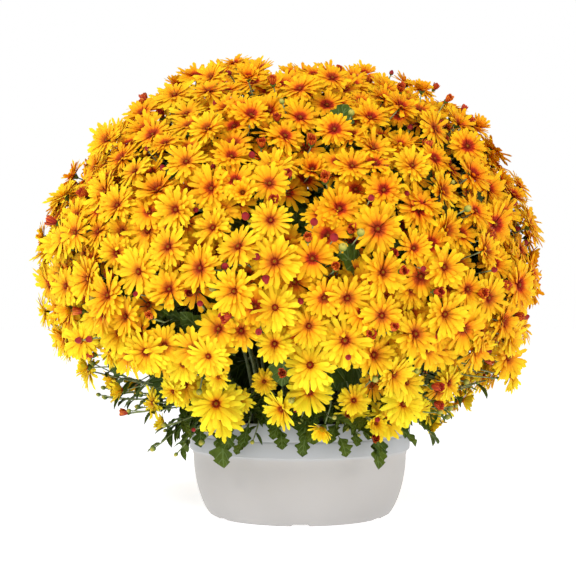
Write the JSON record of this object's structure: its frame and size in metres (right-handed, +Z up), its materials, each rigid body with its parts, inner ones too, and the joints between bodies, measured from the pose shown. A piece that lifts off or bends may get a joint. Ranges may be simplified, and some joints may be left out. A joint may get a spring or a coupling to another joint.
{
  "type": "pot chrysanthemum",
  "caption": "Cushion chrysanthemum in full yellow bloom, a dome of crowded flower heads over a low round plastic pot with lobed leaves hanging over its rim.",
  "frame": {"origin": "middle of the pot's flat underside, on the surface that the pot stands on", "axes": "+Z up along the pot, -Y towards the front view, +X to its right; the cushion of flowers leans a little towards -X"},
  "size_m": [0.6812, 0.6729, 0.6215],
  "materials": {
    "pot": "satin",
    "soil": "matte",
    "foliage": "satin",
    "petals": "matte"
  },
  "bodies": {
    "root": {"pot": "pot", "soil": "soil", "shoot_01": "foliage", "spray_01": "petals", "shoot_02": "foliage", "spray_02": "petals", "shoot_03": "foliage", "spray_03": "petals", "shoot_04": "foliage", "spray_04": "petals", "shoot_05": "foliage", "spray_05": "petals", "shoot_06": "foliage", "spray_06": "petals", "shoot_07": "foliage", "spray_07": "petals", "shoot_08": "foliage", "spray_08": "petals", "shoot_09": "foliage", "spray_09": "petals", "shoot_10": "foliage", "spray_10": "petals", "shoot_11": "foliage", "spray_11": "petals", "shoot_12": "foliage", "spray_12": "petals", "shoot_13": "foliage", "spray_13": "petals", "shoot_14": "foliage", "spray_14": "petals", "shoot_15": "foliage", "spray_15": "petals", "shoot_16": "foliage", "spray_16": "petals", "shoot_17": "foliage", "spray_17": "petals", "shoot_18": "foliage", "spray_18": "petals", "shoot_19": "foliage", "spray_19": "petals", "shoot_20": "foliage", "spray_20": "petals", "shoot_21": "foliage", "spray_21": "petals", "shoot_22": "foliage", "spray_22": "petals", "shoot_23": "foliage", "spray_23": "petals", "shoot_24": "foliage", "spray_24": "petals", "shoot_25": "foliage", "spray_25": "petals", "shoot_26": "foliage", "spray_26": "petals", "shoot_27": "foliage", "spray_27": "petals", "shoot_28": "foliage", "spray_28": "petals"}
  },
  "joints": []
}
